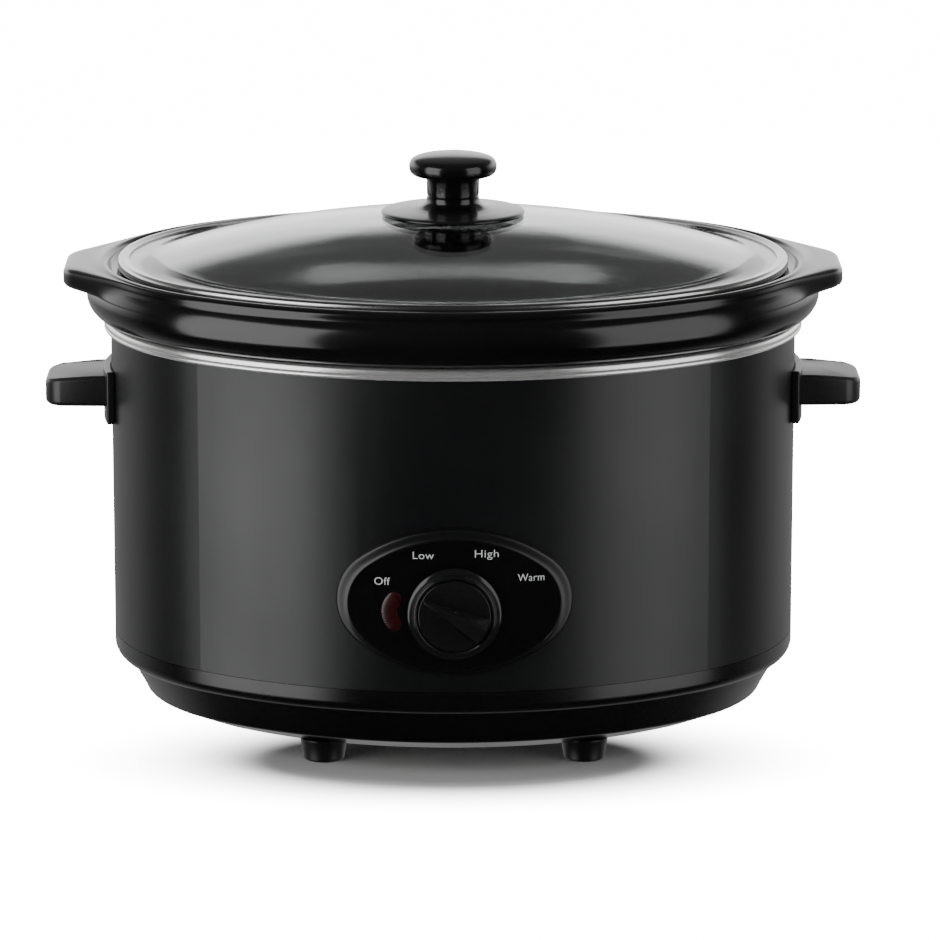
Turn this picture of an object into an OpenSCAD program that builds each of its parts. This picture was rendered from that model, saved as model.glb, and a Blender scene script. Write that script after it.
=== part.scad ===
// Oval slow cooker: painted shell on a moulded base, lift-out stoneware crock,
// glass lid with a steel rim, and a rotary control on the front.
// Millimetres, +Z up, the front faces -Y, and the feet stand on z = 0.

/* [Body] */
// Half width of the shell along X
half_w = 167.5; // [150:0.1:180]
// Half depth of the shell along Y
half_d = 132.3; // [126:0.1:138]
// Height of the base pan's underside above the floor
foot_h = 11; // [10:0.5:20]
// Height of the seam between the base and the shell
seam_z = 47.5; // [44:0.1:54]
// Height of the shell's top edge
shell_top_z = 199.2; // [190:0.1:206]
// Thickness of the shell's sheet steel
sheet_t = 0.8; // [0.6:0.1:1.2]

/* [Crock] */
// Height of the crock's highest crest
crest_z = 231.6; // [228:0.1:236]
// How far the collar stands out past the shell
collar_out = 11.5; // [8:0.1:13]
// Distance from the shell's outside to the crock's inner wall
cavity_in = 29.5; // [28:0.5:33]
// Height of the crock's inside floor
cavity_floor_z = 75; // [72:1:84]
// Half length over the two crock lugs
lug_tip_x = 189.5; // [185:0.1:194]

/* [Lid] */
// How far the lid's rim lies inside the shell's outline
lid_in = 3.4; // [3:0.1:6]
// Height of the glass at its middle
dome_z = 254; // [250:0.1:257]
// Thickness of the glass
glass_t = 4; // [3:0.5:5]
// Diameter of the lid knob's head
lid_knob_d = 43; // [38:0.5:48]
// Height of the lid knob's top
top_z = 283.5; // [279:0.1:286]

/* [Handles] */
// Half length over the two side handles
handle_tip_x = 199.4; // [194:0.1:205]
// Height of the handles' flat underside
handle_z = 161.4; // [154:0.1:166]

/* [Control] */
// Height of the control shaft
dial_z = 86.8; // [84:0.1:92]
// Height of the control panel's middle
panel_z = 91.9; // [88:0.1:94]
// Width of the control panel
panel_w = 112; // [108:0.4:116]
// Height of the control panel
panel_h = 70.8; // [68:0.4:74]
// Width of the panel's sunk gloss field
field_w = 100; // [96:0.4:102]
// Height of the panel's sunk gloss field
field_h = 64.4; // [60:0.4:65]
// Height of the gloss field's middle
field_z = 89.9; // [88:0.1:92]
// Diameter of the control knob's skirt
skirt_d = 44.4; // [42:0.2:48]
// Diameter of the control knob's face
face_d = 35; // [32:0.2:37]
// Angle of the grip at the first stop, anticlockwise from +X as seen from the front
off_angle = 151; // [140:1:160]

/* [Hidden] */

$fn = 64;
eps = 0.01;

// four-centre oval: ends on (+-end_x, 0), sides on (0, +-side_y), set out on a 3-4-5 triangle
oval_unit = (half_w - half_d) / 2;
end_x = 3 * oval_unit;
side_y = 4 * oval_unit;
end_r = half_w - end_x;
side_r = half_d + side_y;
join_a = atan2(4, 3);

// the knob stands out further at the front than the collar does at the back
grip_face_y = -(half_d + 18.6);
centre_y = -(grip_face_y + half_d + collar_out) / 2;

// base
step_z = seam_z - 12;
floor_t = 2.2;
// the skirt leans in to a low corner, and from there the underside runs in to the flat floor
skirt_in = 13.4;
skirt_corner_z = foot_h + 9.6;
flat_in = 33;
screw_post_h = 8;
post_pos = [44, 52];
foot_x = 63;
foot_y = 78;
foot_top_r = 11.5;
foot_low_r = 10;
foot_dirs = [[-1, -1], [1, -1], [-1, 1], [1, 1]];

// trim, well and heater, as distances from the shell's outside
trim_top_z = shell_top_z + 5.2;
well_in = 20;
well_floor_z = 61.2;
band_t = 2.4;
band_low_z = 112;
band_high_z = 166;

// crock
collar_low_z = trim_top_z + 0.3;
ledge_z = crest_z - 4.1;
crock_wall = 7;
crock_low_z = cavity_floor_z - 9;
lug_tip_r = 20.6;
lug_root = [148, 72];
lug_low_z = crest_z - 10.2;
lug_top_z = crest_z - 2.4;
belly_z = collar_low_z + 11.3;

// lid
rim_low_z = ledge_z + 0.3;
rim_top_z = rim_low_z + 5.4;
rim_w = 5.5;
glass_in = lid_in + 2.2;
knob_seam_z = dome_z + 8.4;
head_low_z = top_z - 11;
stem_r = 12.8;

// control
panel_t = 2.6;
shaft_r = 3;
panel_y = -(half_d + panel_t);
knob_back_y = panel_y - 0.5;
knob_face_y = knob_back_y - 5.4;
shaft_end_y = knob_back_y - 9;
pilot_pos = [-31, dial_z + 0.4];
clip_x = 48;
gland_pos = [0, seam_z + 15];
gland_bore_r = 3.6;
handle_top_z = handle_z + 15.4;
handle_screw_y = [-13, 13];
handle_screw_z = handle_z + 7.7;
clamp_z = [band_low_z + 14, band_high_z - 14];
band_y = half_d - well_in;
band_gap = 9;
// fuse lying against the well under the band, at the right end
fuse_x = half_w - well_in + 2.4;

black_paint = "#26282b";
black_plastic = "#1b1b1c";
steel = "#c9ccce";
stoneware = "#101011";

// ---------- helpers ----------
function arc(c, r, a0, a1, n = 8) = [for (i = [0:n]) c + r * [cos(a0 + (a1 - a0) * i / n), sin(a0 + (a1 - a0) * i / n)]];
function mirror_y(p) = [for (i = [len(p) - 1:-1:0]) [p[i][0], -p[i][1]]];

// moves a piece from the oval's centre to the origin under the middle of the whole cooker
module seat() translate([0, centre_y, 0]) children();

// carries a section drawn as [distance outside the shell, height] once round the oval
module round_oval() for (sy = [0, 1]) mirror([0, sy, 0]) {
    for (sx = [0, 1]) mirror([sx, 0, 0]) translate([end_x, 0, 0])
        rotate_extrude(angle = join_a) translate([end_r, 0]) children();
    translate([0, -side_y, 0])
        rotate_extrude(angle = 180 - 2 * join_a, start = join_a) translate([side_r, 0]) children();
}

// flat oval plate between two heights whose edge lies a distance outside the shell;
// a smaller oval has its own unit and half depth
module oval_plate(out, z0, z1, unit = oval_unit, depth = half_d) for (sy = [0, 1]) mirror([0, sy, 0]) {
    for (sx = [0, 1]) mirror([sx, 0, 0]) translate([3 * unit, 0, z0])
        rotate_extrude(angle = join_a) square([depth - unit + out, z1 - z0]);
    inner = max(0, 4 * unit - depth / 2);
    translate([0, -4 * unit, z0]) rotate_extrude(angle = 180 - 2 * join_a, start = join_a)
        translate([inner, 0]) square([depth + 4 * unit + out - inner, z1 - z0]);
}

// cylinder along +Y from y0 to y1
module rod_y(x, z, r, y0, y1) translate([x, y0, z]) rotate([-90, 0, 0]) cylinder(r = r, h = y1 - y0);
// cylinder along +X from x0 to x1
module rod_x(y, z, r, x0, x1) translate([x0, y, z]) rotate([0, 90, 0]) cylinder(r = r, h = x1 - x0);
// cylinder along +Z from z0 to z1
module rod_z(x, y, r, z0, z1) translate([x, y, z0]) cylinder(r = r, h = z1 - z0);
// hexagonal prism along +Z
module hex_z(x, y, across, z0, z1) translate([x, y, z0]) cylinder(d = across / cos(30), h = z1 - z0, $fn = 6);

// ---------- base ----------
module foot(dir) color(black_plastic) seat() translate([dir[0] * foot_x, dir[1] * foot_y, 0])
    difference() {
        rotate_extrude() polygon(concat([[0, 0]], arc([foot_low_r - 1.2, 1.2], 1.2, -90, 0, 5),
            [[foot_top_r, foot_h], [0, foot_h]]));
        translate([0, 0, -1]) cylinder(r = 4.6, h = 7);
        translate([0, 0, 0]) cylinder(r = 2.2, h = foot_h + 1);
    }

module foot_front_left() foot(foot_dirs[0]);
module foot_front_right() foot(foot_dirs[1]);
module foot_rear_left() foot(foot_dirs[2]);
module foot_rear_right() foot(foot_dirs[3]);

module foot_screws() color(steel) seat() for (d = foot_dirs) {
    rod_z(d[0] * foot_x, d[1] * foot_y, 3.9, 3.4, 6);
    rod_z(d[0] * foot_x, d[1] * foot_y, 1.95, 5.9, foot_h + floor_t + 6);
}

module base_pan() color(black_plastic) seat() difference() {
    union() {
        round_oval() polygon(concat(
            [[-6.4, step_z]],
            arc([-skirt_in - 4.4, skirt_corner_z], 3, -24, -70, 4),
            [[-flat_in, foot_h], [-flat_in - 3, foot_h], [-flat_in - 3, foot_h + floor_t],
             [-flat_in + 0.6, foot_h + floor_t], [-skirt_in - 6, skirt_corner_z - 0.4], [-skirt_in - 3.6, skirt_corner_z + 2],
             [-8.8, step_z + 1.2], [-2.8, step_z + 7.6], [-2.8, seam_z + 5.5], [-1.1, seam_z + 5.5],
             [-1.1, seam_z], [0.2, seam_z]],
            arc([-6, step_z + 6], 6, 0, -84, 7)));
        oval_plate(-flat_in - 1, foot_h, foot_h + floor_t);
        for (d = foot_dirs)
            rod_z(d[0] * foot_x, d[1] * foot_y, 6, foot_h + 1, foot_h + floor_t + screw_post_h);
        rod_z(0, 0, 12, foot_h + 1, foot_h + floor_t + screw_post_h);
        rod_z(post_pos[0], post_pos[1], 4, foot_h + 1, foot_h + floor_t + 6);
    }
    for (d = foot_dirs) rod_z(d[0] * foot_x, d[1] * foot_y, 2, foot_h - 1, foot_h + floor_t + screw_post_h + 1);
    rod_z(0, 0, 3.2, foot_h - 1, foot_h + floor_t + screw_post_h + 1);
    rod_z(post_pos[0], post_pos[1], 1.6, foot_h + 3, foot_h + floor_t + 7);
    for (s = [-1, 1], i = [-3:3]) translate([s * 100 - 14, i * 11 - 2, foot_h - 1]) cube([28, 4, floor_t + 2]);
}

// ---------- shell, trim and well ----------
module shell() color(black_paint) seat() difference() {
    round_oval() translate([-sheet_t, seam_z]) square([sheet_t, shell_top_z - seam_z]);
    rod_y(0, dial_z, 5.2, -half_d - 5, -half_d + 10);
    rod_y(pilot_pos[0], pilot_pos[1], 7, -half_d - 5, -half_d + 10);
    for (s = [-1, 1]) rod_y(s * clip_x, panel_z, 2.2, -half_d - 5, -half_d + 15);
    rod_y(gland_pos[0], gland_pos[1], 7.1, half_d - 10, half_d + 5);
    for (y = handle_screw_y) rod_x(y, handle_screw_z, 2.3, -half_w - 5, half_w + 5);
}

module rim_trim() color(steel) seat() round_oval() polygon(concat(
    [[0.05, shell_top_z - 0.9], [0.2, shell_top_z - 0.9]],
    arc([2.2, shell_top_z + 0.7], 1.1, -110, 40, 6),
    arc([0.6, shell_top_z + 2.5], 2.7, -10, 78, 7),
    [[-1.5, trim_top_z], [-5, trim_top_z - 0.4], [-5, trim_top_z - 1.4], [-1.4, trim_top_z - 1.1]],
    arc([0.45, shell_top_z + 2.5], 1.8, 80, -30, 6),
    [[1.2, shell_top_z + 1.1], [-0.9, shell_top_z + 1.1], [-0.9, shell_top_z + 0.1], [0.05, shell_top_z + 0.1]]));

module heating_well() color("#8e9194") seat() difference() {
    union() {
        round_oval() polygon(concat(
            [[-well_in - 6.8, well_floor_z]], arc([-well_in - 6, well_floor_z + 6], 6, -90, 0, 5),
            [[-well_in, trim_top_z - 3.4], [-2.4, trim_top_z - 3.4], [-2.4, trim_top_z - 1.6],
             [-5.2, trim_top_z - 1.6], [-5.2, trim_top_z - 2.6], [-well_in - 0.8, trim_top_z - 2.6]],
            arc([-well_in - 6, well_floor_z + 6.4], 5.2, 0, -90, 5),
            [[-well_in - 6.8, well_floor_z + 1]]));
        oval_plate(-well_in - 6, well_floor_z, well_floor_z + 1);
    }
    rod_z(0, 0, 3.1, well_floor_z - 1, well_floor_z + 2);
}

// stud through the well's floor and the base, held by a nut under the base
module well_stud() color(steel) seat() {
    rod_z(0, 0, 6, well_floor_z + 1, well_floor_z + 3.2);
    rod_z(0, 0, 3, foot_h - 7, well_floor_z + 1.1);
}

module stud_nut() color(steel) seat() difference() {
    union() {
        hex_z(0, 0, 10, foot_h - 6, foot_h - 1.2);
        rod_z(0, 0, 8, foot_h - 1.2, foot_h);
    }
    rod_z(0, 0, 3.05, foot_h - 7, foot_h + 1);
}

// ---------- heater ----------
module heater_band() color("#b4b1a8") seat() difference() {
    union() {
        difference() {
            round_oval() translate([-well_in + 0.1, band_low_z]) square([band_t, band_high_z - band_low_z]);
            translate([-band_gap, band_y - 5, band_low_z - 1]) cube([2 * band_gap, 12, band_high_z - band_low_z + 2]);
        }
        for (s = [-1, 1]) translate([s * (band_gap + 0.8) - 0.8, band_y + 0.6, band_low_z + 4])
            cube([1.6, 11, band_high_z - band_low_z - 8]);
    }
    for (z = clamp_z) rod_x(band_y + 8, z, 2.1, -15, 15);
}

module band_clamp() color(steel) seat() for (z = clamp_z) {
    rod_x(band_y + 8, z, 2, -band_gap - 4, band_gap + 5);
    rod_x(band_y + 8, z, 3.4, -band_gap - 4.4, -band_gap - 1.6);
    translate([band_gap + 1.6, band_y + 8, z]) rotate([0, 90, 0]) cylinder(d = 7.6, h = 2.6, $fn = 6);
}

module thermal_fuse() color("#b9a46a") seat() {
    rod_z(fuse_x, 0, 2, 86, 98);
    rod_z(fuse_x, 0, 0.6, 82, 86.1);
    rod_z(fuse_x, 0, 0.6, 97.9, 102);
}

module fuse_clip() color(steel) seat() difference() {
    translate([fuse_x - 2.4, -9, 89]) cube([5.2, 18, 6]);
    rod_z(fuse_x, 0, 2.05, 88, 96);
    for (s = [-1, 1]) translate([fuse_x - 1.4, s * 7.4 - 4, 88]) cube([5, 8, 8]);
    translate([end_x, 0, 88]) cylinder(r = end_r - well_in + 0.05, h = 8, $fn = 180);
}

// ---------- wiring ----------
module terminal_block() color("#d9d6cc") seat() difference() {
    translate([post_pos[0] - 7, post_pos[1] - 13, foot_h + floor_t + 6]) cube([14, 26, 13]);
    rod_z(post_pos[0], post_pos[1], 1.7, foot_h, foot_h + 40);
    for (s = [-1, 1]) rod_x(post_pos[1] + s * 7, foot_h + floor_t + 11, 2, post_pos[0] - 10, post_pos[0] + 10);
    for (s = [-1, 1]) rod_z(post_pos[0], post_pos[1] + s * 7, 1.8, foot_h + floor_t + 13, foot_h + 40);
}

module block_screw() color(steel) seat() {
    rod_z(post_pos[0], post_pos[1], 1.55, foot_h + 4, foot_h + floor_t + 19.1);
    rod_z(post_pos[0], post_pos[1], 3, foot_h + floor_t + 19, foot_h + floor_t + 20.8);
}

// screw and tag under the well's floor for the earth lead
earth_pos = [-40, 30];
module earth_screw() color("#c8a94f") seat() {
    rod_z(earth_pos[0], earth_pos[1], 4, well_floor_z - 4, well_floor_z - 1);
    rod_z(earth_pos[0], earth_pos[1], 5, well_floor_z - 1, well_floor_z);
}

// an eight-sided tube through the points; its rings keep one side towards the direction up
function tangent(p, i) = let (d = p[min(i + 1, len(p) - 1)] - p[max(i - 1, 0)]) d / norm(d);
module lead(p, r = 1.1, up = [0.83, 0.31, 0.46]) {
    n = 8;
    rings = [for (i = [0:len(p) - 1]) let (t = tangent(p, i), u = cross(t, up) / norm(cross(t, up)), v = cross(t, u))
        for (k = [0:n - 1]) p[i] + r * (cos(360 * k / n) * u + sin(360 * k / n) * v)];
    last = n * (len(p) - 1);
    polyhedron(rings, concat([[for (k = [0:n - 1]) k]], [[for (k = [n - 1:-1:0]) last + k]],
        [for (i = [0:len(p) - 2], k = [0:n - 1])
            [i * n + k, (i + 1) * n + k, (i + 1) * n + (k + 1) % n, i * n + (k + 1) % n]]));
}

module wires() color("#8c3b33") seat() {
    deck = foot_h + floor_t + 11;
    gland_y = half_d - 8;
    front_y = half_d - 17.2;
    lamp_y = half_d - 10.7;
    // live lead from the inlet to the terminal block
    lead([[2.5, gland_y, gland_pos[1]], [20, 104, 52], [30, 59, deck], [36.5, 59, deck]]);
    // earth lead from the inlet to the well
    lead([[-2.5, gland_y, gland_pos[1]], [-20, 104, 53], [-42, 60, 53], [-42, 36.5, 57.4]]);
    // block to the rotary switch
    lead([[36.5, 45, deck], [30, 45, deck], [24, 10, 34], [14, -60, 40], [8, 6 - front_y, 54], [8, -front_y, 69.8]]);
    // switch to the heater band
    lead([[-8, -front_y, 103.5], [-14, -front_y, 107.5], [-30, 2.2 - front_y, band_low_z - 1]]);
    // block to the fuse and on to the band
    lead([[51.5, 45, deck], [70, 40, 34], [134, 12, 44], [153, 3, 60], [fuse_x + 1.5, 0, 72], [fuse_x, 0, 81.6]]);
    lead([[fuse_x, 0, 102.4], [fuse_x, 0, band_low_z - 0.4]]);
    // switch to the pilot lamp
    lead([[-16.4, -lamp_y, dial_z - 5], [-25, -lamp_y, dial_z - 9], [pilot_pos[0], -lamp_y, dial_z - 9.4]], 0.8);
}

// ---------- cord inlet ----------
module cord_gland() color(black_plastic) seat() difference() {
    union() {
        rod_y(gland_pos[0], gland_pos[1], 7, half_d - 6, half_d + 1);
        rod_y(gland_pos[0], gland_pos[1], 9.5, half_d + 0.05, half_d + 3);
        rod_y(gland_pos[0], gland_pos[1], 8.6, half_d - 6, half_d - 2);
    }
    rod_y(gland_pos[0], gland_pos[1], gland_bore_r, half_d - 10, half_d + 10);
}

// ---------- side handles ----------
module handle(s) color(black_plastic) seat() mirror([s < 0 ? 1 : 0, 0, 0]) difference() {
    union() {
        intersection() {
            translate([0, 0, handle_z - 8]) linear_extrude(26) polygon(concat(
                [[end_x, 0], [end_x + 90, -25]],
                arc([end_x + end_r - 3.2, -18], 7, -90, 0, 5),
                arc([end_x + end_r - 3.2, 18], 7, 0, 90, 5), [[end_x + 90, 25]]));
            difference() {
                translate([end_x, 0, handle_z - 8]) cylinder(r = end_r + 4, h = 26);
                translate([end_x, 0, handle_z - 9]) cylinder(r = end_r + eps, h = 28);
            }
        }
        intersection() {
            translate([0, 0, handle_z - 1]) linear_extrude(20) difference() {
                polygon(concat([[half_w - 6, -22], [half_w + 8, -21.9]],
                    arc([handle_tip_x - 11, -10.5], 11, -75, 0, 6),
                    arc([handle_tip_x - 11, 10.5], 11, 0, 75, 6), [[half_w + 8, 21.9], [half_w - 6, 22]]));
                translate([end_x, 0]) circle(r = end_r + 2, $fn = 128);
            }
            translate([0, 40, 0]) rotate([90, 0, 0]) linear_extrude(80) polygon(concat(
                [[half_w - 8, handle_z]],
                arc([handle_tip_x - 5, handle_z + 5], 5, -90, 0, 5),
                arc([handle_tip_x - 4, handle_z + 9.2], 4, 0, 82, 5),
                [[half_w + 4, handle_top_z], [half_w - 8, handle_top_z]]));
        }
    }
    for (y = handle_screw_y) rod_x(y, handle_screw_z, 1.82, half_w - 6, half_w + 12);
}

module handle_left() handle(-1);
module handle_right() handle(1);

module handle_screws() color(steel) seat() for (s = [-1, 1], y = handle_screw_y) mirror([s < 0 ? 1 : 0, 0, 0]) {
    rod_x(y, handle_screw_z, 1.8, half_w - 3, half_w + 11);
    rod_x(y, handle_screw_z, 4, half_w - 5, half_w - 2.2);
}

// ---------- control ----------
// oval prism along Y about a point above the floor
module oval_prism(w, h, z, y0, y1) translate([0, y1, z]) rotate([90, 0, 0])
    oval_plate(0, 0, y1 - y0, (w - h) / 4, h / 2);

// slab that follows the front of the shell, from r0 to r1 outside it
module front_slab(r0, r1) translate([0, side_y, panel_z - 50]) difference() {
    cylinder(r = side_r + r1, h = 100, $fn = 360);
    translate([0, 0, -1]) cylinder(r = side_r + r0, h = 102, $fn = 360);
}

// kidney shape round the shaft; its end rounds are a hair narrower, so that no two faces run on tangent
module bean(r_mid, half_t, half_a, y0, y1) translate([0, y1, dial_z]) rotate([90, 0, 0]) {
    rotate_extrude(angle = 2 * half_a, start = 180 - half_a)
        translate([r_mid - half_t, 0]) square([2 * half_t, y1 - y0]);
    for (a = [-half_a, half_a]) rotate(180 + a) translate([r_mid, 0, 0]) cylinder(r = 0.98 * half_t, h = y1 - y0);
}

lens_mid = norm([pilot_pos[0], pilot_pos[1] - dial_z]);
lens_half_a = 8.9;
lens_back_y = -half_d + 1.5;
module panel() color("#0c0c0d") seat() difference() {
    union() {
        intersection() {
            front_slab(0.02, panel_t + 0.9);
            oval_prism(panel_w, panel_h, panel_z, -half_d - 8, -half_d + 14);
        }
        for (s = [-1, 1]) rod_y(s * clip_x, panel_z, 2.1, -half_d + 5, -half_d + 12);
    }
    intersection() {
        front_slab(panel_t - 0.4, panel_t + 6);
        oval_prism(field_w, field_h, field_z, -half_d - 12, -half_d + 14);
    }
    rod_y(0, dial_z, 5.2, -half_d - 9, -half_d + 10);
    bean(lens_mid, 5.3, lens_half_a, -half_d - 9, -half_d + 10);
}

module panel_clips() color(steel) seat() for (s = [-1, 1]) difference() {
    rod_y(s * clip_x, panel_z, 5, -half_d + 8.6, -half_d + 9.4);
    rod_y(s * clip_x, panel_z, 2.1, -half_d + 8, -half_d + 11);
}

module pilot_lens() color("#5c0d12") seat() {
    bean(lens_mid, 5.1, lens_half_a, -half_d - 1.2, lens_back_y);
    rod_y(pilot_pos[0], pilot_pos[1], 4.6, lens_back_y - 0.05, -half_d + 6.6);
}

module pilot_lamp() color("#d98f5c") seat() {
    rod_y(pilot_pos[0], pilot_pos[1], 2.6, -half_d + 6.7, -half_d + 12);
    rod_z(pilot_pos[0], -half_d + 10.7, 0.6, dial_z - 8.4, pilot_pos[1] - 2);
}

bush_r = 5;
body_front_y = -half_d + 2.2;
module rotary_switch() color("#cfcabb") seat() difference() {
    union() {
        translate([-16, body_front_y, dial_z - 16]) cube([32, 13, 32]);
        rod_y(0, dial_z, bush_r, panel_y - 0.6, body_front_y + 1);
        for (p = [[8, -1], [-8, 1]]) translate([p[0] - 2.5, body_front_y + 4, dial_z + (p[1] < 0 ? -16.8 : 16)])
            cube([5, 0.8, 0.8]);
    }
    rod_y(0, dial_z, shaft_r + 0.05, panel_y - 2, body_front_y + 8);
}

module switch_nut() color(steel) seat() difference() {
    translate([0, panel_y + 0.4, dial_z]) rotate([90, 0, 0]) cylinder(d = 14 / cos(30), h = 1.8, $fn = 6);
    rod_y(0, dial_z, bush_r, panel_y - 3, panel_y + 1);
}

module switch_shaft() color(steel) seat() rod_y(0, dial_z, shaft_r, shaft_end_y, body_front_y + 7.6);

// wedge across the face whose narrow end is the pointer; each end is [distance along, half width]
module grip_wedge(y0, y1, low, high) {
    rings = [for (e = [[y0, low], [y1, high]]) for (q = [[0, 1], [1, 1], [1, -1], [0, -1]])
        [e[1][q[0]][0], q[1] * e[1][q[0]][1], e[0]]];
    polyhedron(rings, [[0, 1, 2, 3], [7, 6, 5, 4], [0, 4, 1], [1, 4, 5], [1, 5, 6, 2], [2, 6, 3], [3, 6, 7], [3, 7, 4, 0]]);
}

module control_knob() color(black_plastic) seat() difference() {
    union() {
        // lip, cone, groove and face turned about the shaft
        translate([0, knob_back_y, dial_z]) rotate([90, 0, 0]) rotate_extrude($fn = 128) polygon(concat(
            [[0, 0], [skirt_d / 2, 0], [skirt_d / 2, 0.8]], arc([skirt_d / 2 - 0.8, 0.9], 0.8, 15, 60, 3),
            arc([face_d / 2 + 0.9, 5.2], 0.8, 55, 120, 3), [[face_d / 2 + 0.3, 4.6], [face_d / 2 - 0.2, 4.6],
            [face_d / 2 - 0.2, 5.2], [face_d / 2 - 0.5, 5.4], [0, 5.4]]));
        translate([0, knob_face_y + 0.4, dial_z]) rotate([90, -off_angle, 0])
            grip_wedge(0, knob_face_y + 0.4 - grip_face_y, [[17, 1.2], [-16.2, 7.2]], [[17, 0.5], [-15.6, 3.8]]);
    }
    // hollow back that clears the nut
    translate([0, knob_back_y + 1, dial_z]) rotate([90, 0, 0]) difference() {
        cylinder(r = skirt_d / 2 - 4.4, h = 4.4);
        cylinder(r = 9.8, h = 5, $fn = 64);
    }
    rod_y(0, dial_z, 9, knob_back_y - 3.2, knob_back_y + 1);
    rod_y(0, dial_z, shaft_r, shaft_end_y, knob_back_y + 1);
}

// ---------- crock ----------
crock_out = cavity_in - crock_wall;
module crock_section() polygon(concat(
    [[-cavity_in - 14, crock_low_z]],
    arc([-crock_out - 11.7, crock_low_z + 8], 8, -90, 0, 6),
    [[-crock_out, collar_low_z - 6], [-crock_out + 3, collar_low_z]],
    arc([collar_out - 11.3, belly_z], 11.3, -90, 0, 8),
    arc([collar_out - 16, belly_z], 16, 4, 44, 7),
    arc([3.6, crest_z - 3.3], 3.3, 12, 165, 9),
    [[-0.6, ledge_z + 0.4], [-1.2, ledge_z]],
    arc([-10.5, ledge_z - 2.5], 2.5, 90, 180, 4),
    [[-13.6, ledge_z - 8], [-16.5, ledge_z - 15], [-22, ledge_z - 22], [-27, ledge_z - 28.5],
     [-cavity_in, ledge_z - 36], [-cavity_in - 3.4, cavity_floor_z + 14]],
    arc([-cavity_in - 17.4, cavity_floor_z + 14], 14, 0, -90, 6)));

// angle at which the line from the root point touches the corner arc
lug_corner = [lug_tip_x - lug_tip_r, 15];
lug_step = lug_root - lug_corner;
lug_touch_a = atan2(lug_step[1], lug_step[0]) - acos(lug_tip_r / norm(lug_step));
lug_edge = concat(arc(lug_corner, lug_tip_r, 0, lug_touch_a, 8), [lug_root]);

module lug() difference() {
    intersection() {
        translate([0, 0, lug_low_z]) linear_extrude(crest_z - lug_low_z) polygon(concat(
            [[60, 0]], [[60, -50]], mirror_y(lug_edge), lug_edge, [[60, 50]]));
        translate([0, 100, 0]) rotate([90, 0, 0]) linear_extrude(200) polygon(concat(
            [[50, lug_low_z - 3]], [[half_w + 10, lug_low_z - 3]],
            arc([lug_tip_x - 4, lug_low_z + 4], 4, -90, 0, 5),
            arc([lug_tip_x - 3.4, lug_top_z - 3.4], 3.4, 0, 80, 5),
            [[half_w + 7, crest_z - 0.9], [half_w + 5, crest_z - 0.4], [50, crest_z - 0.4]]));
    }
    oval_plate(2.6, lug_low_z - 1, crest_z + 1);
}

module crock() color(stoneware) seat() {
    round_oval() crock_section();
    oval_plate(-cavity_in - 13, crock_low_z, cavity_floor_z);
    for (s = [0, 180]) rotate(s) lug();
}

// ---------- lid ----------
dome_low_z = rim_low_z + 1.2;
dome_a = half_w - glass_in - 5.5;
dome_b = half_d - glass_in - 5.5;
dome_h = dome_z - dome_low_z - 0.6;
dome_r = (dome_a * dome_a + dome_h * dome_h) / (2 * dome_h);

module lid_glass() color("#8d9699") seat() difference() {
    union() {
        translate([0, 0, dome_low_z]) scale([1, dome_b / dome_a, 1]) rotate_extrude($fn = 180) difference() {
            polygon(concat([[0, -0.01]], [[dome_a, 0]],
                [for (i = [0:14]) let (x = dome_a * (1 - i / 14)) [x, sqrt(dome_r * dome_r - x * x) - dome_r + dome_h + 0.6]]));
            polygon(concat([[-1, -1], [dome_a - 16, -1]],
                [for (i = [0:12]) let (x = (dome_a - 16) * (1 - i / 12))
                    [x, sqrt(dome_r * dome_r - x * x) - dome_r + dome_h + 0.6 - glass_t]], [[-1, dome_h - glass_t]]));
        }
        round_oval() translate([-glass_in - 9, dome_low_z]) square([8.9, 2.6]);
    }
    rod_z(0, 0, 4, dome_z - 10, dome_z + 5);
}

module lid_rim() color(steel) seat() round_oval() polygon(concat(
    [[-lid_in - rim_w, rim_low_z]],
    arc([-lid_in - 1.6, rim_low_z + 1.6], 1.6, -90, 0, 5),
    arc([-lid_in - 2, rim_top_z - 2], 2, 0, 90, 5),
    [[-lid_in - rim_w, rim_top_z - 0.7], [-lid_in - rim_w, dome_low_z + 2.7], [-glass_in, dome_low_z + 2.7],
     [-glass_in, dome_low_z - 0.1], [-lid_in - rim_w, dome_low_z - 0.1]]));

knob_screw_r = 2.5;
module lid_seal() color("#3a3a3c") seat() difference() {
    rod_z(0, 0, 9, dome_z - glass_t - 1.6, dome_z - glass_t - 0.3);
    rod_z(0, 0, knob_screw_r, dome_z - 12, dome_z);
}

module lid_screw_washer() color(steel) seat() difference() {
    rod_z(0, 0, 7, dome_z - glass_t - 2.8, dome_z - glass_t - 1.6);
    rod_z(0, 0, knob_screw_r, dome_z - 12, dome_z);
}

module lid_knob_screw() color(steel) seat() {
    rod_z(0, 0, knob_screw_r, dome_z - glass_t - 3, knob_seam_z + 9);
    rod_z(0, 0, 4.6, dome_z - glass_t - 5.6, dome_z - glass_t - 2.8);
}

module lid_knob_base() color("#141415") seat() difference() {
    rotate_extrude($fn = 128) polygon(concat([[0, dome_z + 0.05], [35, dome_z + 0.05]],
        arc([34.1, dome_z + 1.5], 1.4, -60, 90, 6),
        [[16.6, dome_z + 3.6], [14.2, dome_z + 5], [stem_r, dome_z + 7.4], [stem_r, knob_seam_z], [0, knob_seam_z]]));
    rod_z(0, 0, knob_screw_r, dome_z - 1, knob_seam_z + 1);
}

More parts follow.
